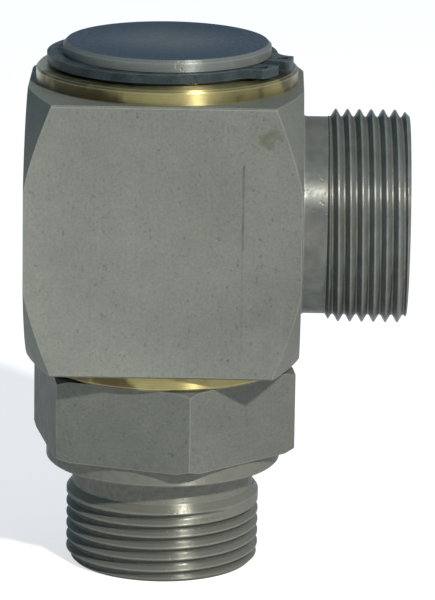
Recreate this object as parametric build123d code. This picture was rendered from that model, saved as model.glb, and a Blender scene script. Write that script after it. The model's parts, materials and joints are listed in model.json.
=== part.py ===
from build123d import *
import os
from math import cos, radians, sin, sqrt, tan

# Hydraulic rotary union, 90 degrees: a square steel block with a side port turns freely on a
# hollow spindle that screws into the machine. Millimetres. The spindle stands on Z, its stud end
# face is at z = 0, and the side port points along +X.

# ---- flow path
bore_d = 20.0               # straight bore of the spindle and of the port
cross_hole_d = 12.0         # radial holes from the spindle bore to the ring channel
cross_hole_count = 4
channel_wall = 3.5          # steel left round the spindle bore at the ring channel
channel_length = 21.0
drill_point_deg = 118.0

# ---- stud end of the spindle: M33 x 2, with a face seal under its collar
stud_thread_d = 33.0
stud_length = 18.0          # stud end face to collar face
stud_neck_d = 31.0          # thread undercut
stud_neck_length = 4.4
stud_run_in = 1.3           # taper where the thread starts at its neck
stud_tip_chamfer = 1.1
collar_d = 40.0
collar_height = 3.0

# ---- face seal in the collar
face_seal_width = 2.35      # radial
face_seal_thickness = 2.0
face_seal_recess = 1.75     # depth of its recess in the collar face

# ---- hexagon
hex_across_flats = 41.0
hex_height = 14.1
hex_corner_break = 0.6      # height of the 30 degree break on its corners
hex_turn_deg = 12.0         # how far one corner is turned from -Y towards +X

# ---- journal and its top end
journal_d = 35.0
end_disc_height = 2.0       # collar left above the retaining ring's groove
end_disc_chamfer = 0.55
edge_break = 0.3

# ---- housing block and its turned ends
block_size = 46.0           # square bar
block_length = 46.0         # along the port's axis
end_face_d = 49.0           # where the turned cone meets each end face
end_cone_deg = 30.0
housing_gap = 0.08          # radial gap between the journal's lands and the housing bore

# ---- side port: M36 x 2 for a 28 mm tube, 24 degree cone
port_thread_d = 36.0
port_length = 18.0
port_neck_d = 33.4
port_neck_length = 4.2
port_run_in = 0.8           # chamfer where the thread starts at its neck
port_root_radius = 0.6
port_tip_chamfer = 1.1
tube_d = 28.0
tube_stop_depth = 7.5
cone_mouth_d = 30.5
cone_deg = 24.0

# ---- flanged bearing bushes
bush_flange_inset = 1.0     # block's side to flange's edge
bush_flange_height = 2.5
bush_wall = 2.0
bush_sleeve_length = 7.0
bush_edge_break = 0.4
running_clearance = 0.03    # radial, bush on journal
thrust_clearance = 0.1      # lower flange above the hexagon
end_play = 0.6              # upper flange below the retaining ring

# ---- retaining ring for a 35 mm shaft
ring_thickness = 1.5
ring_groove_width = 1.6
ring_groove_depth = 1.0
ring_width_back = 3.8       # radial width opposite the gap
ring_width_front = 2.0      # radial width beside the lugs
lug_height = 4.8            # radial height of a lug above the groove
lug_half_width = 6.7        # from the middle of the gap to a lug's far side
lug_root_radius = 3.0
lug_corner_radius = 0.6
lug_hole_d = 2.2
lug_hole_height = 3.0       # hole centre above the groove
lug_hole_deg = 13.0
ring_gap = 3.6              # width of the gap
ring_gap_turn_deg = -22.8   # where the gap points, from +X

# ---- pressure seals: a slipper ring on a rubber energiser, in grooves of the journal
seal_groove_width = 3.2
seal_groove_depth = 3.65
seal_sleeve_gap = 0.3       # land between a bush sleeve's end and the seal groove
slipper_thickness = 1.45
slipper_gap = 0.02          # radial, slipper in the housing bore
seal_side_gap = 0.1         # axial room of a ring in its groove

# ---- dust rings, in grooves of the journal under the bushes
dust_groove_width = 2.2
dust_groove_depth = 1.2
dust_ring_gap = 0.02

# ---- sizes worked out from those above
journal_r = journal_d / 2
bore_r = bore_d / 2
housing_bore_r = journal_r + housing_gap
bush_bore_r = journal_r + running_clearance
bush_sleeve_r = bush_bore_r + bush_wall
bush_flange_r = block_size / 2 - bush_flange_inset
face_seal_r = stud_neck_d / 2 + face_seal_width
ring_groove_r = journal_r - ring_groove_depth
seal_groove_r = journal_r - seal_groove_depth
dust_groove_r = journal_r - dust_groove_depth
hex_corner_r = hex_across_flats / 2 / cos(radians(30))

collar_z = stud_length
hex_z = collar_z + collar_height
hex_top_z = hex_z + hex_height
block_z = hex_top_z + thrust_clearance + bush_flange_height
block_top_z = block_z + block_size
port_z = block_z + block_size / 2
ring_z = block_top_z + bush_flange_height + end_play
ring_groove_z = ring_z - (ring_groove_width - ring_thickness) / 2
end_disc_z = ring_groove_z + ring_groove_width
spindle_top_z = end_disc_z + end_disc_height
face_x = block_length / 2
port_end_x = face_x + port_length

# the lower seals lie below the port's axis as the upper ones lie above it
seal_offset = block_size / 2 - bush_sleeve_length - seal_sleeve_gap - seal_groove_width / 2
dust_offset = block_size / 2 - bush_sleeve_length / 2


def turned(points):
    """Solid turned about Z from its half section, given as (radius, height)."""
    outline = Polyline(*points, close=True)
    return revolve(Plane.XZ * make_face(outline), Axis.Z)


def turned_about_x(points):
    """Solid turned about the port's axis from its half section, given as (x, radius)."""
    outline = Polyline(*points, close=True)
    return Pos(0, 0, port_z) * revolve(Plane.XZ * make_face(outline), Axis.X)


def ring(inner_r, outer_r, low_z, high_z):
    """Plain turned ring with a square section."""
    return turned([(inner_r, low_z), (outer_r, low_z), (outer_r, high_z), (inner_r, high_z)])


def squeezed_ring(inner_r, outer_r, mid_z, width):
    """Rubber ring pressed flat where it lies between two cylinders."""
    section = SlotOverall(width, outer_r - inner_r, rotation=90)
    return revolve(Plane.XZ * Pos((inner_r + outer_r) / 2, mid_z) * section, Axis.Z)


def hexagon_block():
    """Spanner hexagon with its corners broken at 30 degrees at both ends."""
    across = RegularPolygon(hex_across_flats / 2, 6, major_radius=False)
    first_corner = across.vertices().sort_by(Axis.X)[-1]
    offset = Vector(first_corner.X, first_corner.Y, 0).get_signed_angle(Vector(1, 0, 0))
    turn = hex_turn_deg - 90 + offset
    prism = Pos(0, 0, hex_z) * Rot(0, 0, turn) * extrude(across, hex_height)
    flat_r = hex_corner_r - hex_corner_break / tan(radians(30))
    envelope = turned([
        (0, hex_z),
        (flat_r, hex_z),
        (hex_corner_r, hex_z + hex_corner_break),
        (hex_corner_r, hex_top_z - hex_corner_break),
        (flat_r, hex_top_z),
        (0, hex_top_z),
    ])
    return prism & envelope


def make_spindle():
    """Stud, collar, hexagon and journal in one turned bar, hollow up to the side port."""
    stud_r = stud_thread_d / 2
    neck_r = stud_neck_d / 2
    thread_top_z = stud_length - stud_neck_length
    collar_r = collar_d / 2
    body = turned([
        (0, 0),
        (stud_r - stud_tip_chamfer, 0),
        (stud_r, stud_tip_chamfer),
        (stud_r, thread_top_z - stud_run_in),
        (neck_r, thread_top_z),
        (neck_r, collar_z),
        (collar_r - edge_break, collar_z),
        (collar_r, collar_z + edge_break),
        (collar_r, hex_z),
        (journal_r, hex_z),
        (journal_r, spindle_top_z - end_disc_chamfer),
        (journal_r - end_disc_chamfer, spindle_top_z),
        (0, spindle_top_z),
    ])
    body += hexagon_block()

    # bore, blind above the ring channel, with the drill's point at its end
    bore_top_z = port_z + channel_length / 2
    point_height = bore_r / tan(radians(drill_point_deg / 2))
    body -= turned([(0, 0), (bore_r, 0), (bore_r, bore_top_z), (0, bore_top_z + point_height)])

    # ring channel and its radial holes
    body -= ring(bore_r + channel_wall, journal_r + 1,
                 port_z - channel_length / 2, port_z + channel_length / 2)
    hole = Cylinder(cross_hole_d / 2, journal_r, align=(Align.CENTER, Align.CENTER, Align.MIN))
    for number in range(cross_hole_count):
        turn = hex_turn_deg + 360 * number / cross_hole_count
        body -= Pos(0, 0, port_z) * Rot(0, 0, turn) * Rot(0, 90, 0) * hole

    # grooves for the seals, the dust rings and the retaining ring
    for side in (-1, 1):
        seal_z = port_z + side * seal_offset
        dust_z = port_z + side * dust_offset
        body -= ring(seal_groove_r, journal_r + 1,
                     seal_z - seal_groove_width / 2, seal_z + seal_groove_width / 2)
        body -= ring(dust_groove_r, journal_r + 1,
                     dust_z - dust_groove_width / 2, dust_z + dust_groove_width / 2)
    body -= ring(ring_groove_r, journal_r + 1, ring_groove_z, end_disc_z)

    # recess of the face seal
    body -= ring(neck_r, face_seal_r + seal_side_gap, collar_z, collar_z + face_seal_recess)
    return body


def make_housing():
    """Square block with cone-turned ends and the threaded side port in one piece."""
    bar = Pos(0, 0, port_z) * Box(block_length, block_size, block_size)
    bar = chamfer(bar.edges().filter_by(Axis.X), edge_break)

    # both ends of the bar are turned to a cone about the port's axis
    end_r = end_face_d / 2
    corner_r = block_size / sqrt(2) + 1
    cone_x = (corner_r - end_r) * tan(radians(end_cone_deg))
    envelope = turned_about_x([
        (-face_x, 0),
        (-face_x, end_r),
        (-face_x + cone_x, corner_r),
        (face_x - cone_x, corner_r),
        (face_x, end_r),
        (face_x, 0),
    ])
    body = bar & envelope

    # side port: neck with a small root radius, then the thread's blank
    neck_r = port_neck_d / 2
    thread_r = port_thread_d / 2
    neck_end_x = face_x + port_neck_length
    root = port_root_radius * (1 - 1 / sqrt(2))
    body += turned_about_x([
        (0, 0),
        (0, neck_r + port_root_radius),
        (face_x, neck_r + port_root_radius),
        (face_x + root, neck_r + root),
        (face_x + port_root_radius, neck_r),
        (neck_end_x, neck_r),
        (neck_end_x + port_run_in, thread_r),
        (port_end_x - port_tip_chamfer, thread_r),
        (port_end_x, thread_r - port_tip_chamfer),
        (port_end_x, 0),
    ])

    # bore of the spindle, with a seat for each bush
    body -= ring(0, housing_bore_r, block_z, block_top_z)
    body -= ring(0, bush_sleeve_r, block_z, block_z + bush_sleeve_length)
    body -= ring(0, bush_sleeve_r, block_top_z - bush_sleeve_length, block_top_z)

    # bore of the port, tube socket and cone mouth
    stop_x = port_end_x - tube_stop_depth
    tube_r = tube_d / 2
    cone_length = (cone_mouth_d - tube_d) / 2 / tan(radians(cone_deg / 2))
    body -= turned_about_x([
        (0, 0),
        (0, bore_r),
        (stop_x, bore_r),
        (stop_x, tube_r),
        (port_end_x - cone_length, tube_r),
        (port_end_x, cone_mouth_d / 2),
        (port_end_x, 0),
    ])
    return body


def make_bush(face_z, side):
    """Flanged bush pressed into the block's face at face_z, its flange outside on that side."""
    outer_z = face_z + side * bush_flange_height
    inner_z = face_z - side * bush_sleeve_length
    return turned([
        (bush_bore_r, inner_z),
        (bush_sleeve_r, inner_z),
        (bush_sleeve_r, face_z),
        (bush_flange_r, face_z),
        (bush_flange_r, outer_z - side * bush_edge_break),
        (bush_flange_r - bush_edge_break, outer_z),
        (bush_bore_r + bush_edge_break, outer_z),
        (bush_bore_r, outer_z - side * bush_edge_break),
    ])


def make_retaining_ring():
    """External retaining ring: thickest opposite its gap, with a holed lug on each side of it."""
    outer_r = ring_groove_r + (ring_width_back + ring_width_front) / 2
    shift = (ring_width_back - ring_width_front) / 2
    lug_r = ring_groove_r + lug_height
    shape = Pos(-shift, 0) * Circle(outer_r)
    shape += Circle(lug_r) & Pos(lug_r, 0) * Rectangle(2 * lug_r, 2 * lug_half_width)
    shape -= Circle(ring_groove_r)
    shape -= Pos(lug_r, 0) * Rectangle(2 * lug_r, ring_gap)
    corners = shape.vertices().filter_by(lambda v: sqrt(v.X ** 2 + v.Y ** 2) > lug_r - 0.01)
    shape = fillet(corners, lug_corner_radius)
    roots = shape.vertices().filter_by(lambda v: abs(abs(v.Y) - lug_half_width) < 0.01)
    roots = roots.filter_by(lambda v: sqrt(v.X ** 2 + v.Y ** 2) < outer_r)
    shape = fillet(roots, lug_root_radius)
    hole_r = ring_groove_r + lug_hole_height
    for side in (-1, 1):
        turn = radians(side * lug_hole_deg)
        shape -= Pos(hole_r * cos(turn), hole_r * sin(turn)) * Circle(lug_hole_d / 2)
    return Pos(0, 0, ring_z) * Rot(0, 0, ring_gap_turn_deg) * extrude(shape, ring_thickness)


def make_slipper_ring(side):
    """PTFE slipper ring that runs on the housing bore."""
    mid_z = port_z + side * seal_offset
    half = seal_groove_width / 2 - seal_side_gap
    outer_r = housing_bore_r - slipper_gap
    return ring(outer_r - slipper_thickness, outer_r, mid_z - half, mid_z + half)


def make_energiser(side):
    """Rubber ring that presses the slipper ring outwards."""
    outer_r = housing_bore_r - slipper_gap - slipper_thickness
    width = seal_groove_width - 2 * seal_side_gap
    return squeezed_ring(seal_groove_r, outer_r, port_z + side * seal_offset, width)


def make_dust_ring(side):
    """Rubber ring that keeps dirt out of the bearing."""
    width = dust_groove_width - 2 * seal_side_gap
    outer_r = bush_bore_r - dust_ring_gap
    return squeezed_ring(dust_groove_r, outer_r, port_z + side * dust_offset, width)


def make_face_seal():
    """Rubber seal in the collar's recess, standing a little proud of the collar face."""
    neck_r = stud_neck_d / 2
    top_z = collar_z + face_seal_recess
    low_z = top_z - face_seal_thickness
    return turned([
        (neck_r, low_z),
        (face_seal_r - edge_break, low_z),
        (face_seal_r, low_z + edge_break),
        (face_seal_r, top_z),
        (neck_r, top_z),
    ])


nodes = {
    "spindle": make_spindle(),
    "housing": make_housing(),
    "upper_bush": make_bush(block_top_z, 1),
    "lower_bush": make_bush(block_z, -1),
    "retaining_ring": make_retaining_ring(),
    "upper_slipper_ring": make_slipper_ring(1),
    "lower_slipper_ring": make_slipper_ring(-1),
    "upper_energiser": make_energiser(1),
    "lower_energiser": make_energiser(-1),
    "upper_dust_ring": make_dust_ring(1),
    "lower_dust_ring": make_dust_ring(-1),
    "stud_face_seal": make_face_seal(),
}

os.makedirs("parts", exist_ok=True)
for name, solid in nodes.items():
    export_step(solid, f"parts/{name}.step")
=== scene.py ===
import json
from math import ceil, cos, pi, radians, sin, tan

import bmesh
import bpy
from mathutils import Matrix, Vector


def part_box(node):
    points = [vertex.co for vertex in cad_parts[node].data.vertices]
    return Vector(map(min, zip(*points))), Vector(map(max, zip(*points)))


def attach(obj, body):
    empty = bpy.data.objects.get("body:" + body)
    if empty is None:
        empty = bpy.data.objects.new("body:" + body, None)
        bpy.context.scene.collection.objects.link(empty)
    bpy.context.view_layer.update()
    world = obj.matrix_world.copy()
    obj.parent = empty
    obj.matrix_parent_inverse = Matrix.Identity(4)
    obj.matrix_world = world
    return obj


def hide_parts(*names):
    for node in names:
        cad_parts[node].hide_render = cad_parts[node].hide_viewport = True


# A hydraulic rotary union on a pale floor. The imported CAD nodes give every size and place; this
# script cuts the real threads into the steel parts and finishes every surface. Units are metres.

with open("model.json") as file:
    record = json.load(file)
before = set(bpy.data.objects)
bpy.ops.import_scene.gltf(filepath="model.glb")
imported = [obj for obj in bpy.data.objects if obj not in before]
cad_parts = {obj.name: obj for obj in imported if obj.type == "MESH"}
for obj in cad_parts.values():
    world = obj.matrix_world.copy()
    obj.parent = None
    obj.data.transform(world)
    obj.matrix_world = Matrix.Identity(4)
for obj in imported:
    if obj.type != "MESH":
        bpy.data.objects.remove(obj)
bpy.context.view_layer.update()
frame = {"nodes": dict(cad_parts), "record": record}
MM = 0.001

# ---------------------------------------------------------------- places read from the frame
housing_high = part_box("housing")[1]
spindle_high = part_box("spindle")[1]
mounts = {m["name"]: m for m in frame["record"]["mounts"]}
port_z = mounts["port_thread"]["pos_m"][2]
port_thread_r = mounts["port_thread"]["dims"]["r_mm"] * MM
stud_thread_r = mounts["stud_thread"]["dims"]["r_mm"] * MM

# sizes that the frame's boxes and mounts don't give
COLLAR_HEIGHT = 3.0 * MM
HEX_HEIGHT = 14.1 * MM
PORT_NECK_LENGTH = 4.2 * MM

block_half = housing_high.y             # the port reaches past the block only along X
hex_low = mounts["collar_face"]["pos_m"][2] + COLLAR_HEIGHT
hex_high = hex_low + HEX_HEIGHT
port_neck_end = block_half + PORT_NECK_LENGTH


def thread_span(name):
    """Where the plain cylinder of a threaded mount starts and ends along its own axis."""
    mount = mounts[name]
    along = 0 if abs(mount["axis"][0]) > 0.5 else 2
    middle = mount["pos_m"][along]
    half = mount["dims"]["length_mm"] * MM / 2
    return middle - half, middle + half


# ---------------------------------------------------------------- camera
camera_data = bpy.data.cameras.new("camera")
camera = bpy.data.objects.new("camera", camera_data)
bpy.context.scene.collection.objects.link(camera)
bpy.context.scene.camera = camera

CAMERA_DISTANCE = 0.7355
CAMERA_ELEVATION = radians(14.51)
CAMERA_YAW = radians(0.40)              # to the port's side of straight ahead
CAMERA_ROLL = radians(0.87)
CAMERA_ASIDE = 9.03 * MM                # where it aims, right of the spindle's axis
CAMERA_HEIGHT = 45.46 * MM              # where it aims, above the floor
SENSOR_WIDTH = 36.0
FOCAL_LENGTH = 259.0

toward = Vector((sin(CAMERA_YAW) * cos(CAMERA_ELEVATION),
                 -cos(CAMERA_YAW) * cos(CAMERA_ELEVATION),
                 sin(CAMERA_ELEVATION)))
level = Vector((cos(CAMERA_YAW), sin(CAMERA_YAW), 0))
upright = toward.cross(level)
right = level * cos(CAMERA_ROLL) + upright * sin(CAMERA_ROLL)
upward = upright * cos(CAMERA_ROLL) - level * sin(CAMERA_ROLL)
aim = level * CAMERA_ASIDE + Vector((0, 0, CAMERA_HEIGHT))
camera.rotation_mode = "QUATERNION"
camera.rotation_quaternion = Matrix((right, upward, toward)).transposed().to_quaternion()
camera.location = aim + toward * CAMERA_DISTANCE
camera_data.sensor_width = SENSOR_WIDTH
camera_data.lens = FOCAL_LENGTH
camera_data.clip_start = 0.01
camera_data.clip_end = 50.0

# ---------------------------------------------------------------- node materials
bpy.context.scene.view_settings.view_transform = "Standard"

NOISE_RANGE = (0.3, 0.7)                # where most of a noise's values lie
EDGE_RANGE = (0.998, 0.95)              # likeness of true and rounded normal: open face, worn edge
BEVEL_SAMPLES = 6
SCALAR_RESULTS = ("LENGTH", "DISTANCE", "DOT_PRODUCT")


class Surface:
    """A node material under construction; its methods add nodes and return their outputs."""

    def __init__(self, name):
        self.material = bpy.data.materials.new(name)
        self.material.use_nodes = True
        self.nodes = self.material.node_tree.nodes
        self.links = self.material.node_tree.links
        self.nodes.clear()
        self.shader = self.nodes.new("ShaderNodeBsdfPrincipled")
        out = self.nodes.new("ShaderNodeOutputMaterial")
        self.links.new(self.shader.outputs[0], out.inputs["Surface"])
        place = self.nodes.new("ShaderNodeTexCoord")
        self.place = place.outputs["Object"]

    def feed(self, socket, value):
        """Links an output to a socket, or sets a plain value on it."""
        if isinstance(value, bpy.types.NodeSocket):
            self.links.new(value, socket)
        else:
            socket.default_value = value

    def math(self, operation, first, second=0.0, clamp=False):
        node = self.nodes.new("ShaderNodeMath")
        node.operation = operation
        node.use_clamp = clamp
        self.feed(node.inputs[0], first)
        self.feed(node.inputs[1], second)
        return node.outputs[0]

    def vector_math(self, operation, first, second):
        node = self.nodes.new("ShaderNodeVectorMath")
        node.operation = operation
        self.feed(node.inputs[0], first)
        self.feed(node.inputs[1], second)
        return node.outputs["Value" if operation in SCALAR_RESULTS else "Vector"]

    def parts(self, vector=None):
        """The three components of a vector, or of the place on the object."""
        node = self.nodes.new("ShaderNodeSeparateXYZ")
        self.feed(node.inputs[0], vector or self.place)
        return node.outputs[0], node.outputs[1], node.outputs[2]

    def joined(self, x, y, z):
        node = self.nodes.new("ShaderNodeCombineXYZ")
        for socket, value in zip(node.inputs, (x, y, z)):
            self.feed(socket, value)
        return node.outputs[0]

    def noise(self, size, detail=3.0, stretch=(1, 1, 1), shift=0.0, vector=None):
        """Noise from 0 to 1 whose blotches are about size metres across."""
        moved = self.nodes.new("ShaderNodeMapping")
        self.feed(moved.inputs["Vector"], vector or self.place)
        moved.inputs["Scale"].default_value = [1 / part for part in stretch]
        moved.inputs["Location"].default_value = (shift, shift, shift)
        node = self.nodes.new("ShaderNodeTexNoise")
        self.links.new(moved.outputs[0], node.inputs["Vector"])
        node.inputs["Scale"].default_value = 1 / size
        node.inputs["Detail"].default_value = detail
        return node.outputs["Fac"]

    def specks(self, spacing, radius, share, shift=0.0):
        """1 on small round specks, of which only a share of the possible places has one."""
        moved = self.nodes.new("ShaderNodeMapping")
        self.links.new(self.place, moved.inputs["Vector"])
        moved.inputs["Location"].default_value = (shift, shift, shift)
        node = self.nodes.new("ShaderNodeTexVoronoi")
        self.links.new(moved.outputs[0], node.inputs["Vector"])
        node.inputs["Scale"].default_value = 1 / spacing
        near = self.band(node.outputs["Distance"], radius / spacing, 0.4 * radius / spacing)
        chosen = self.math("LESS_THAN", self.parts(node.outputs["Color"])[0], share)
        return self.math("MULTIPLY", near, chosen)

    def band(self, value, low, high):
        """0 at low, 1 at high, smooth between; low may be the larger one."""
        node = self.nodes.new("ShaderNodeMapRange")
        node.interpolation_type = "SMOOTHSTEP"
        self.feed(node.inputs["Value"], value)
        node.inputs["From Min"].default_value = low
        node.inputs["From Max"].default_value = high
        return node.outputs["Result"]

    def spread(self, value, low, high):
        """Stretches a noise's usual range to low..high."""
        node = self.nodes.new("ShaderNodeMapRange")
        self.feed(node.inputs["Value"], value)
        node.inputs["From Min"].default_value = NOISE_RANGE[0]
        node.inputs["From Max"].default_value = NOISE_RANGE[1]
        node.inputs["To Min"].default_value = low
        node.inputs["To Max"].default_value = high
        return node.outputs["Result"]

    def blend(self, share, first, second, how="MIX"):
        """Colour between first and second."""
        node = self.nodes.new("ShaderNodeMix")
        node.data_type = "RGBA"
        node.blend_type = how
        node.clamp_result = False
        self.feed(node.inputs["Factor"], share)
        self.feed(node.inputs[6], with_alpha(first))
        self.feed(node.inputs[7], with_alpha(second))
        return node.outputs[2]

    def dimmed(self, color, amount):
        """Colour times a number."""
        return self.blend(1.0, color, self.joined(amount, amount, amount), "MULTIPLY")

    def coat(self, color, share, strength, tone):
        """Colour with a film of another tone where share is 1, as thick as strength."""
        return self.blend(self.math("MULTIPLY", share, strength), color, tone)

    def between(self, share, first, second):
        """Number between first and second."""
        node = self.nodes.new("ShaderNodeMix")
        self.feed(node.inputs[0], share)
        self.feed(node.inputs[2], first)
        self.feed(node.inputs[3], second)
        return node.outputs[0]

    def rounded_normal(self, width):
        """The surface's normal with its edges rounded to about that width."""
        rounded = self.nodes.new("ShaderNodeBevel")
        rounded.samples = BEVEL_SAMPLES
        rounded.inputs["Radius"].default_value = width
        return rounded.outputs[0]

    def edge(self, width):
        """1 on edges that are worn to about that width, 0 on open faces."""
        flat = self.nodes.new("ShaderNodeNewGeometry")
        same = self.vector_math("DOT_PRODUCT", self.rounded_normal(width), flat.outputs["Normal"])
        return self.band(same, *EDGE_RANGE)

    def relief(self, heights, edge_width=0.0):
        """Bump from pairs of (height from 0 to 1, depth in metres), on softly rounded edges."""
        normal = self.rounded_normal(edge_width) if edge_width else None
        for height, depth in heights:
            bump = self.nodes.new("ShaderNodeBump")
            bump.inputs["Distance"].default_value = depth
            self.links.new(height, bump.inputs["Height"])
            if normal:
                self.links.new(normal, bump.inputs["Normal"])
            normal = bump.outputs[0]
        self.links.new(normal, self.shader.inputs["Normal"])

    def stretch_gloss(self, share, groove):
        """Stretches highlights across fine tool marks, which run along groove on the object."""
        turn = self.nodes.new("ShaderNodeVectorTransform")
        turn.vector_type = "VECTOR"
        turn.convert_from = "OBJECT"
        turn.convert_to = "WORLD"
        self.feed(turn.inputs[0], groove)
        flat = self.nodes.new("ShaderNodeNewGeometry")
        across = self.vector_math("CROSS_PRODUCT", flat.outputs["Normal"], turn.outputs[0])
        self.feed(self.shader.inputs["Anisotropic"], share)
        self.feed(self.shader.inputs["Tangent"], across)

    def finish(self, color, roughness, metallic, specular=0.5, grazing=1.0):
        self.feed(self.shader.inputs["Base Color"], color)
        self.feed(self.shader.inputs["Roughness"], roughness)
        self.feed(self.shader.inputs["Metallic"], metallic)
        self.shader.inputs["Specular IOR Level"].default_value = specular
        self.shader.inputs["Specular Tint"].default_value = (grazing, grazing, grazing, 1)
        return self.material


def with_alpha(color):
    return (*color, 1.0) if isinstance(color, tuple) and len(color) == 3 else color


# ---------------------------------------------------------------- floor, world and lamp
SKY_PALE = (0.37, 0.45, 0.53, 1)
SKY_DARK = (0.12, 0.22, 0.30, 1)
SKY_DARK_SIDE = (-0.85, -0.25, 0.46)    # towards the darkest part of the sky
SKY_RANGE = (-0.4, 1.0)                 # how far along that way it is pale and dark
FLOOR_HALF = 6.0
FLOOR_DROP = 0.02 * MM                  # keeps it just clear of the stud's end face
FLOOR_GLOW = 0.66


def seen_directly(nodes, links):
    """1 for rays that show the background: from the camera, mirrored or through glass."""
    path = nodes.new("ShaderNodeLightPath")
    largest = path.outputs["Is Camera Ray"]
    for kind in ("Is Glossy Ray", "Is Transmission Ray"):
        either = nodes.new("ShaderNodeMath")
        either.operation = "MAXIMUM"
        links.new(largest, either.inputs[0])
        links.new(path.outputs[kind], either.inputs[1])
        largest = either.outputs[0]
    return largest


def make_world():
    """Pale soft surroundings, darker and cooler overhead and on the side away from the key lamp."""
    world = bpy.data.worlds.new("studio")
    bpy.context.scene.world = world
    world.use_nodes = True
    nodes, links = world.node_tree.nodes, world.node_tree.links
    nodes.clear()
    place = nodes.new("ShaderNodeTexCoord")
    toward_dark = nodes.new("ShaderNodeVectorMath")
    toward_dark.operation = "DOT_PRODUCT"
    links.new(place.outputs["Generated"], toward_dark.inputs[0])
    toward_dark.inputs[1].default_value = SKY_DARK_SIDE
    share = nodes.new("ShaderNodeMapRange")
    share.interpolation_type = "SMOOTHSTEP"
    links.new(toward_dark.outputs["Value"], share.inputs["Value"])
    share.inputs["From Min"].default_value = SKY_RANGE[0]
    share.inputs["From Max"].default_value = SKY_RANGE[1]
    sky = nodes.new("ShaderNodeMix")
    sky.data_type = "RGBA"
    links.new(share.outputs["Result"], sky.inputs["Factor"])
    sky.inputs[6].default_value = SKY_PALE
    sky.inputs[7].default_value = SKY_DARK
    background = nodes.new("ShaderNodeBackground")
    links.new(sky.outputs[2], background.inputs["Color"])
    out = nodes.new("ShaderNodeOutputWorld")
    links.new(background.outputs[0], out.inputs["Surface"])


def make_floor():
    """Pale floor; where it is seen a little glow lifts it to white and keeps the shadow."""
    mesh = bpy.data.meshes.new("floor")
    bm = bmesh.new()
    bmesh.ops.create_grid(bm, x_segments=1, y_segments=1, size=FLOOR_HALF)
    bm.to_mesh(mesh)
    bm.free()
    floor = bpy.data.objects.new("floor", mesh)
    floor.location.z = -FLOOR_DROP
    bpy.context.scene.collection.objects.link(floor)
    surface = Surface("pale_floor")
    shown = seen_directly(surface.nodes, surface.links)
    surface.links.new(shown, surface.shader.inputs["Emission Strength"])
    surface.shader.inputs["Emission Color"].default_value = (FLOOR_GLOW, FLOOR_GLOW, FLOOR_GLOW, 1)
    mottled = surface.spread(surface.noise(0.3), 0.49, 0.51)
    mesh.materials.append(surface.finish(surface.joined(mottled, mottled, mottled), 0.9, 0.0, 0.0))


def add_lamp(name, azimuth, elevation, distance, size, power, color=(1, 1, 1)):
    """Area lamp aimed at the object's middle; azimuth is from +X, as seen from above."""
    data = bpy.data.lights.new(name, "AREA")
    data.shape = "DISK"
    data.size = size
    data.energy = power
    data.color = color
    lamp = bpy.data.objects.new(name, data)
    bpy.context.scene.collection.objects.link(lamp)
    a, e = radians(azimuth), radians(elevation)
    away = Vector((cos(a) * cos(e), sin(a) * cos(e), sin(e)))
    lamp.location = Vector((0, 0, spindle_high.z / 2)) + away * distance
    lamp.rotation_mode = "QUATERNION"
    lamp.rotation_quaternion = away.to_track_quat("Z", "Y")
    return lamp


make_world()
make_floor()
add_lamp("key", azimuth=-60, elevation=36, distance=1.6, size=0.09, power=31.0, color=(1.0, 0.96, 0.90))


# ---------------------------------------------------------------- threads
THREAD_PITCH = 2.0 * MM                 # both are taken as metric fine threads
OVERCUT = 0.1 * MM                      # how far the cutter stands out of the bar
ROOT_CORNER = 0.1 * MM
STEPS_PER_TURN = 96
STUD_ROOT_R = stud_thread_r - 0.97 * MM
STUD_THREAD_TURN = -0.12                # where its groove ends, in turns from +X
STUD_RUN_OUT = 0.12                     # turns over which it ends
PORT_ROOT_R = port_thread_r - 1.23 * MM
PORT_THREAD_TURN = 0.68
JOIN_DISTANCE = 0.001 * MM
SHARP_ANGLE = radians(28)


def thread_cutter(name, radius, root_r, start, end, turn, run_out=0.0):
    """Closed V-shaped coil round Z that leaves a right-hand 60 degree thread when taken away.

    Its middle reaches height end at turn, counted in turns from +X. Its last run_out turns
    grow shallow.
    """
    flank = tan(radians(30))
    top_half = THREAD_PITCH * 7 / 16 + flank * OVERCUT
    low_half = THREAD_PITCH * 7 / 16 - flank * (radius - root_r - ROOT_CORNER)
    outer_r = radius + OVERCUT
    corner_r = root_r + ROOT_CORNER
    profile = [(-top_half, outer_r), (-low_half, corner_r), (-low_half / 2, root_r),
               (low_half / 2, root_r), (low_half, corner_r), (top_half, outer_r)]
    bm = bmesh.new()
    rings = []
    for step in range(ceil((end - start) / THREAD_PITCH * STEPS_PER_TURN), -1, -1):
        left = step / STEPS_PER_TURN
        angle = 2 * pi * (turn - left)
        height = end - THREAD_PITCH * left
        lift = 0.0
        if left < run_out:
            lift = (radius + 0.5 * OVERCUT - root_r) * (1 - left / run_out) ** 2
        rings.append([])
        for along, r in profile:
            r = min(r + lift, outer_r)
            rings[-1].append(bm.verts.new((r * cos(angle), r * sin(angle), height + along)))
    for near, far in zip(rings, rings[1:]):
        for i in range(len(profile)):
            j = (i + 1) % len(profile)
            bm.faces.new((near[i], near[j], far[j], far[i]))
    bm.faces.new(rings[0][::-1])
    bm.faces.new(rings[-1])
    bmesh.ops.recalc_face_normals(bm, faces=bm.faces)
    mesh = bpy.data.meshes.new(name)
    bm.to_mesh(mesh)
    bm.free()
    cutter = bpy.data.objects.new(name, mesh)
    bpy.context.scene.collection.objects.link(cutter)
    return cutter


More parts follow.
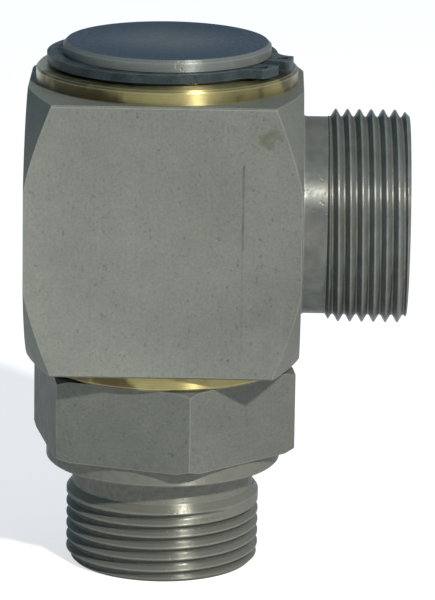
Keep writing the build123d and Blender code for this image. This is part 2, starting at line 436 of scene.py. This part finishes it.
def closed_copy(node, name):
    """A new object with the CAD node's faces joined into one closed mesh."""
    source = frame["nodes"][node].data
    mesh = bpy.data.meshes.new(name)
    faces = [list(face.vertices) for face in source.polygons]
    mesh.from_pydata([vertex.co for vertex in source.vertices], [], faces)
    bm = bmesh.new()
    bm.from_mesh(mesh)
    bmesh.ops.remove_doubles(bm, verts=bm.verts, dist=JOIN_DISTANCE)
    bm.to_mesh(mesh)
    bm.free()
    copy = bpy.data.objects.new(name, mesh)
    bpy.context.scene.collection.objects.link(copy)
    return copy


def cut_thread(bar, cutter):
    """Takes the cutter away from the bar, shades the result and removes the cutter."""
    cut = bar.modifiers.new("thread", "BOOLEAN")
    cut.operation = "DIFFERENCE"
    cut.solver = "EXACT"
    cut.object = cutter
    evaluated = bar.evaluated_get(bpy.context.evaluated_depsgraph_get())
    shaped = bpy.data.meshes.new_from_object(evaluated)
    bar.modifiers.clear()
    bar.data = shaped
    shaped.shade_smooth()
    shaped.set_sharp_from_angle(angle=SHARP_ANGLE)
    weighted = bar.modifiers.new("flat faces stay flat", "WEIGHTED_NORMAL")
    weighted.keep_sharp = True
    weighted.weight = 100
    bpy.data.objects.remove(cutter)


def make_spindle():
    """The CAD spindle with its stud's thread, which runs out just below the neck."""
    low, high = thread_span("stud_thread")
    spindle = closed_copy("spindle", "spindle_threaded")
    cutter = thread_cutter("stud_cutter", stud_thread_r, STUD_ROOT_R, low - 1.5 * THREAD_PITCH,
                           high - 0.85 * MM, STUD_THREAD_TURN, STUD_RUN_OUT)
    cut_thread(spindle, cutter)
    return spindle


def make_housing():
    """The CAD housing with the thread of its side port, cut through to the port's neck."""
    low, high = thread_span("port_thread")
    housing = closed_copy("housing", "housing_threaded")
    cutter = thread_cutter("port_cutter", port_thread_r, PORT_ROOT_R, low - 1.2 * THREAD_PITCH,
                           high + 2 * THREAD_PITCH, PORT_THREAD_TURN)
    cutter.matrix_world = Matrix.Translation((0, 0, port_z)) @ Matrix.Rotation(pi / 2, 4, "Y")
    bpy.context.view_layer.update()
    cut_thread(housing, cutter)
    return housing


spindle = make_spindle()
housing = make_housing()


# ---------------------------------------------------------------- finishes
HOUSING_TONE = (0.192, 0.199, 0.173)
HOUSING_DARK = (0.158, 0.165, 0.144)
PORT_TONE = (0.160, 0.172, 0.162)
SPINDLE_TONE = (0.158, 0.166, 0.144)
SPINDLE_DARK = (0.130, 0.138, 0.120)
TURNED_TONE = (0.198, 0.198, 0.166)
DISC_TONE = (0.162, 0.178, 0.168)
# painted reflection of a dark blue sky on the spindle's top end, paler in its middle
TOP_SKY_REFLECTION_TONE = (0.050, 0.076, 0.108)
TOP_MIDDLE_REFLECTION_TONE = (0.118, 0.138, 0.150)
BRASS_TONE = (0.36, 0.31, 0.135)
BRASS_DARK = (0.25, 0.21, 0.090)
# brown tarnish, also used as painted shade at the brass flange's ends
TARNISH_AND_SHADE_TONE = (0.095, 0.072, 0.034)
RING_TONE = (0.045, 0.060, 0.062)
RING_DARK = (0.020, 0.029, 0.034)
FLECK_TONE = (0.060, 0.064, 0.060)
PIT_TONE = (0.045, 0.047, 0.042)
BROWN_TONE = (0.150, 0.125, 0.085)
STAIN_TONE = (0.085, 0.080, 0.050)
DRIP_TONE = (0.10, 0.095, 0.075)
SCRATCH_TONE = (0.055, 0.058, 0.055)
# painted shade in the roots of the port's and the stud's threads
PORT_ROOT_SHADE = (0.025, 0.026, 0.024)
STUD_ROOT_SHADE = (0.024, 0.024, 0.021)
BARE_STEEL = (0.40, 0.41, 0.38)
BARE_BRASS = (0.75, 0.68, 0.40)
BARE_SPOT = (0.36, 0.33, 0.27)
BARE_RING = (0.16, 0.19, 0.20)
SOFT_EDGE = 0.15 * MM                   # rounding that edges show in the light
SEAM = 0.02 * MM                        # slack where one finish starts beside another
PIT_DEPTH = -0.02 * MM
STEEL_SPECULAR = 0.2
STEEL_GRAZING = 0.3

# marks on the block's front, from its middle and down from its top
SCRATCH_ASIDE = 0.572 * block_half
SCRATCH_TOP = housing_high.z - 9 * MM
STAIN_PLACE = (0.755 * block_half, -block_half, housing_high.z - 5.2 * MM)


def from_axis(surface, axis, through=(0, 0, 0)):
    """Distance from a line along X or Z, and the place along that line."""
    shifted = surface.vector_math("SUBTRACT", surface.place, through)
    x, y, z = surface.parts(shifted)
    along, other = (x, z) if axis == "X" else (z, x)
    squares = surface.math("ADD", surface.math("MULTIPLY", other, other), surface.math("MULTIPLY", y, y))
    return surface.math("SQRT", squares), along


def turned_lines(surface, radius, along, width):
    """Noise in fine rings round an axis, as a lathe tool leaves them."""
    return surface.noise(width, 2.0, vector=surface.joined(radius, along, 0.0))


def both(surface, *shares):
    """Product of several shares from 0 to 1."""
    product = shares[0]
    for share in shares[1:]:
        product = surface.math("MULTIPLY", product, share)
    return product


def steel(name, tone, dark_tone):
    """Grey steel, cloudy, mottled and pitted. Returns surface, colour, and pits with flecks."""
    surface = Surface(name)
    clouds = surface.spread(surface.noise(18 * MM, 4.0), 0, 1)
    color = surface.blend(clouds, dark_tone, tone)
    blotches = surface.spread(surface.noise(3.2 * MM, 3.0, shift=5.3), 0.97, 1.03)
    mottling = surface.spread(surface.noise(0.45 * MM, 5.0, shift=3.1), 0.90, 1.09)
    uneven = surface.math("MULTIPLY", blotches, mottling)
    redness = surface.spread(surface.noise(1.1 * MM, 3.0, shift=8.8), 0.97, 1.03)
    warmer = surface.math("MULTIPLY", uneven, redness)
    color = surface.blend(1.0, color, surface.joined(warmer, uneven, uneven), "MULTIPLY")
    flecks = surface.band(surface.noise(0.8 * MM, 2.0, stretch=(1.0, 1.0, 1.3), shift=1.4), 0.62, 0.76)
    color = surface.coat(color, flecks, 0.33, FLECK_TONE)
    pits = surface.math("MAXIMUM", surface.specks(0.75 * MM, 0.16 * MM, 0.25),
                        surface.specks(1.7 * MM, 0.28 * MM, 0.30, 0.7))
    soft_pits = surface.math("MULTIPLY", pits, surface.spread(surface.noise(5 * MM, shift=1.9), 0.10, 0.55))
    color = surface.blend(soft_pits, color, PIT_TONE)
    return surface, color, surface.math("MAXIMUM", pits, flecks)


def housing_steel():
    surface, color, pits = steel("housing_steel", HOUSING_TONE, HOUSING_DARK)
    x, y, z = surface.parts()
    # the block's upright flat sides have fine upright lines, and all else has a lathe's rings
    side = surface.math("MAXIMUM", surface.math("ABSOLUTE", x), surface.math("ABSOLUTE", y))
    flat = surface.math("GREATER_THAN", side, block_half - SEAM)
    axis_r, axis_z = from_axis(surface, "Z")
    port_r, port_x = from_axis(surface, "X", (0, 0, port_z))
    on_port = surface.math("GREATER_THAN", port_x, block_half + 0.3 * MM)
    on_block = surface.math("SUBTRACT", 1.0, on_port)
    block_rings = both(surface, turned_lines(surface, axis_r, axis_z, 0.25 * MM), on_block)
    port_rings = both(surface, turned_lines(surface, port_r, port_x, 0.25 * MM), on_port)
    turned = surface.math("ADD", block_rings, port_rings)
    drawn = surface.noise(0.4 * MM, 3.0, stretch=(1, 1, 50))
    lines = surface.between(both(surface, flat, on_block), turned, drawn)
    color = surface.dimmed(color, surface.spread(lines, 0.98, 1.02))
    # painted light and shade: the block is paler low down and away from the port, darker high up near it
    painted_falloff = surface.band(surface.math("SUBTRACT", surface.math("MULTIPLY", z, -0.5), x), -48 * MM, 4 * MM)
    color = surface.dimmed(color, surface.between(painted_falloff, 0.96, 1.26))
    uneven = surface.spread(surface.noise(2.5 * MM, 5.0, shift=8.3), 0.80, 1.18)
    port_color = surface.dimmed(PORT_TONE, uneven)
    brownish = surface.band(surface.noise(7 * MM, 3.0, shift=4.9), 0.48, 0.70)
    port_color = surface.coat(port_color, brownish, 0.35, BROWN_TONE)
    color = surface.coat(color, on_port, 0.85, port_color)
    # handling stains, one of them near the block's upper corner above the port
    away = surface.vector_math("DISTANCE", surface.place, STAIN_PLACE)
    ragged = surface.math("ADD", away, surface.spread(surface.noise(1.6 * MM, 4.0), -1.3 * MM, 1.3 * MM))
    color = surface.coat(color, surface.band(ragged, 2.6 * MM, 0.4 * MM), 0.5, STAIN_TONE)
    drips = surface.band(surface.noise(20 * MM, 3.0, shift=5.5), 0.58, 0.78)
    color = surface.coat(color, drips, 0.25, DRIP_TONE)
    # a scratch down the front, fading out
    across = surface.math("ABSOLUTE", surface.math("SUBTRACT", x, SCRATCH_ASIDE))
    line = surface.band(across, 0.30 * MM, 0.10 * MM)
    below = surface.math("SUBTRACT", SCRATCH_TOP, z)
    deep = surface.between(surface.band(below, 15.5 * MM, 14.0 * MM), 0.30, 1.0)
    starting = surface.band(below, 0.0, 1 * MM)
    ending = surface.band(below, 36 * MM, 28 * MM)
    dashes = surface.spread(surface.noise(1.3 * MM, 4.0, stretch=(1, 1, 2.0)), 0.25, 1.0)
    front = surface.math("LESS_THAN", y, 0.0)
    scratch = both(surface, line, starting, ending, deep, dashes, front, flat)
    color = surface.coat(color, scratch, 0.6, SCRATCH_TONE)
    # painted shade darkening the thread's root, and edges worn bright
    root_shade = both(surface, surface.band(port_r, PORT_ROOT_R + 0.35 * MM, PORT_ROOT_R + 0.05 * MM),
                 surface.math("GREATER_THAN", port_x, port_neck_end))
    color = surface.coat(color, root_shade, 0.35, PORT_ROOT_SHADE)
    color = surface.coat(color, surface.edge(0.35 * MM), 0.25, BARE_STEEL)
    matt = surface.spread(surface.noise(3 * MM, 5.0, shift=7.7), 0.42, 0.52)
    bright = surface.spread(surface.noise(0.8 * MM, 5.0, shift=6.1), 0.33, 0.52)
    rough = surface.between(on_port, matt, bright)
    grain = surface.noise(0.35 * MM, 3.0, shift=9.2)
    surface.relief([(pits, PIT_DEPTH), (grain, 0.005 * MM), (turned, 0.003 * MM),
                    (scratch, -0.03 * MM)], SOFT_EDGE)
    from_port = surface.vector_math("SUBTRACT", surface.place, (0, 0, port_z))
    round_port = surface.vector_math("CROSS_PRODUCT", (1, 0, 0), from_port)
    groove = surface.blend(on_port, (0.0, 0.0, 1.0), round_port)
    surface.stretch_gloss(surface.between(on_port, 0.2, 0.80), groove)
    metallic = surface.between(on_port, 0.40, 0.48)
    return surface.finish(color, rough, metallic, STEEL_SPECULAR, STEEL_GRAZING)


def spindle_steel():
    surface, color, pits = steel("spindle_steel", SPINDLE_TONE, SPINDLE_DARK)
    axis_r, z = from_axis(surface, "Z")
    rings = turned_lines(surface, axis_r, z, 0.28 * MM)
    below_hex = surface.math("LESS_THAN", z, hex_low + SEAM)
    above_hex = surface.math("GREATER_THAN", z, hex_high + 0.05 * MM)
    turned = surface.math("MAXIMUM", below_hex, above_hex)
    color = surface.coat(color, turned, 0.8, TURNED_TONE)
    color = surface.coat(color, above_hex, 0.8, DISC_TONE)
    # the top end has a painted reflection of a dark blue sky, paler round its centre, and the lines of its
    # facing cut
    top = surface.math("GREATER_THAN", z, spindle_high.z - 0.05 * MM)
    top_sky_reflection = surface.blend(surface.band(axis_r, 15 * MM, 1 * MM), TOP_SKY_REFLECTION_TONE, TOP_MIDDLE_REFLECTION_TONE)
    color = surface.coat(color, top, 0.95, top_sky_reflection)
    swirl = surface.noise(1.3 * MM, 3.0, vector=surface.joined(axis_r, surface.noise(15 * MM, 2.0), 0.0))
    side_streaks = surface.spread(rings, 0.95, 1.05)
    top_streaks = surface.spread(swirl, 0.80, 1.20)
    color = surface.dimmed(color, surface.between(top, side_streaks, top_streaks))
    # painted shade darkening the thread's root, and edges worn bright
    root_shade = both(surface, surface.band(axis_r, STUD_ROOT_R + 0.25 * MM, STUD_ROOT_R + 0.02 * MM),
                 surface.math("LESS_THAN", z, thread_span("stud_thread")[1]),
                 surface.math("GREATER_THAN", axis_r, STUD_ROOT_R - 0.5 * MM))
    color = surface.coat(color, root_shade, 0.6, STUD_ROOT_SHADE)
    color = surface.coat(color, surface.edge(0.40 * MM), 0.25, BARE_STEEL)
    matt = surface.spread(surface.noise(3 * MM, 5.0, shift=7.7), 0.40, 0.50)
    bright = surface.spread(surface.noise(0.8 * MM, 5.0, shift=6.1), 0.31, 0.50)
    rough = surface.between(turned, matt, bright)
    grain = surface.noise(0.35 * MM, 3.0, shift=4.2)
    surface.relief([(pits, PIT_DEPTH), (grain, 0.004 * MM), (rings, 0.005 * MM)], SOFT_EDGE)
    round_axis = surface.vector_math("CROSS_PRODUCT", (0, 0, 1), surface.place)
    stretch = surface.between(top, surface.math("MULTIPLY", turned, 0.92), 0.45)
    surface.stretch_gloss(stretch, round_axis)
    metallic = surface.between(turned, 0.40, 0.48)
    return surface.finish(color, rough, metallic, STEEL_SPECULAR, STEEL_GRAZING)


def bearing_brass():
    surface = Surface("bearing_brass")
    axis_r, z = from_axis(surface, "Z")
    rings = turned_lines(surface, axis_r, z, 0.22 * MM)
    clouds = surface.spread(surface.noise(9 * MM, 4.0), 0, 1)
    color = surface.blend(clouds, BRASS_DARK, BRASS_TONE)
    # tarnish in three patches round the flange; two of them sit at the flange's right end and front-left,
    # where they also paint shade
    x, y = surface.parts()[:2]
    thrice = surface.math("MULTIPLY", surface.math("ARCTAN2", y, x), 3.0)
    patches = surface.math("COSINE", surface.math("ADD", thrice, radians(-325)))
    cloudy = surface.noise(5 * MM, 4.0, shift=2.6)
    patchy = surface.math("ADD", cloudy, surface.math("MULTIPLY", patches, 0.16))
    tarnish_and_shade = surface.band(patchy, 0.46, 0.66)
    color = surface.coat(color, tarnish_and_shade, 0.9, TARNISH_AND_SHADE_TONE)
    color = surface.dimmed(color, surface.spread(rings, 0.90, 1.10))
    color = surface.coat(color, surface.edge(0.3 * MM), 0.5, BARE_BRASS)
    rough = surface.math("ADD", surface.spread(surface.noise(2 * MM, 4.0), 0.30, 0.38),
                         surface.math("MULTIPLY", tarnish_and_shade, 0.08))
    surface.relief([(rings, 0.005 * MM), (surface.noise(0.5 * MM), 0.004 * MM)], SOFT_EDGE)
    round_axis = surface.vector_math("CROSS_PRODUCT", (0, 0, 1), surface.place)
    surface.stretch_gloss(surface.between(tarnish_and_shade, 0.95, 0.85), round_axis)
    return surface.finish(color, rough, 0.85)


def spring_steel():
    surface = Surface("spring_steel")
    clouds = surface.spread(surface.noise(3 * MM, 4.0), 0, 1)
    color = surface.blend(clouds, RING_DARK, RING_TONE)
    mottling = surface.spread(surface.noise(0.5 * MM, 4.0, shift=1.3), 0.8, 1.2)
    color = surface.dimmed(color, mottling)
    color = surface.coat(color, surface.specks(1.7 * MM, 0.17 * MM, 0.16, 0.4), 0.6, BARE_SPOT)
    color = surface.coat(color, surface.edge(0.25 * MM), 0.35, BARE_RING)
    rough = surface.spread(surface.noise(1.2 * MM, 4.0), 0.38, 0.50)
    surface.relief([(surface.noise(0.4 * MM, 3.0), 0.012 * MM)], SOFT_EDGE)
    return surface.finish(color, rough, 0.1, STEEL_SPECULAR, STEEL_GRAZING)


def slipper_plastic():
    surface = Surface("slipper_plastic")
    clouds = surface.spread(surface.noise(2 * MM), 0, 1)
    color = surface.blend(clouds, (0.16, 0.12, 0.07), (0.22, 0.17, 0.10))
    color = surface.coat(color, surface.specks(0.5 * MM, 0.1 * MM, 0.5), 0.6, (0.40, 0.30, 0.14))
    surface.relief([(surface.noise(0.3 * MM), 0.01 * MM)])
    return surface.finish(color, surface.spread(surface.noise(1 * MM), 0.45, 0.6), 0.0)


def seal_rubber():
    surface = Surface("seal_rubber")
    clouds = surface.spread(surface.noise(1.5 * MM, 4.0), 0, 1)
    color = surface.blend(clouds, (0.014, 0.014, 0.015), (0.032, 0.032, 0.033))
    color = surface.coat(color, surface.specks(0.7 * MM, 0.08 * MM, 0.3), 0.35, (0.15, 0.14, 0.12))
    surface.relief([(surface.noise(0.25 * MM), 0.012 * MM)])
    return surface.finish(color, surface.spread(surface.noise(1 * MM), 0.5, 0.68), 0.0)


def dress(obj, body, material, slot, *nodes):
    """Gives a new piece its body, its CAD nodes and its material."""
    obj.data.materials.clear()
    obj.data.materials.append(material)
    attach(obj, body)
    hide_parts(*nodes)


dress(spindle, "spindle_body", spindle_steel(), "spindle_steel", "spindle")
dress(housing, "housing_body", housing_steel(), "housing_steel", "housing")
finishes = {"bearing_brass": bearing_brass(), "spring_steel": spring_steel(),
            "slipper_plastic": slipper_plastic(), "seal_rubber": seal_rubber()}
for part in frame["record"]["subparts"]:
    if part["material_slot"] in finishes:
        node = frame["nodes"][part["node"]]
        node.data.materials.clear()
        node.data.materials.append(finishes[part["material_slot"]])
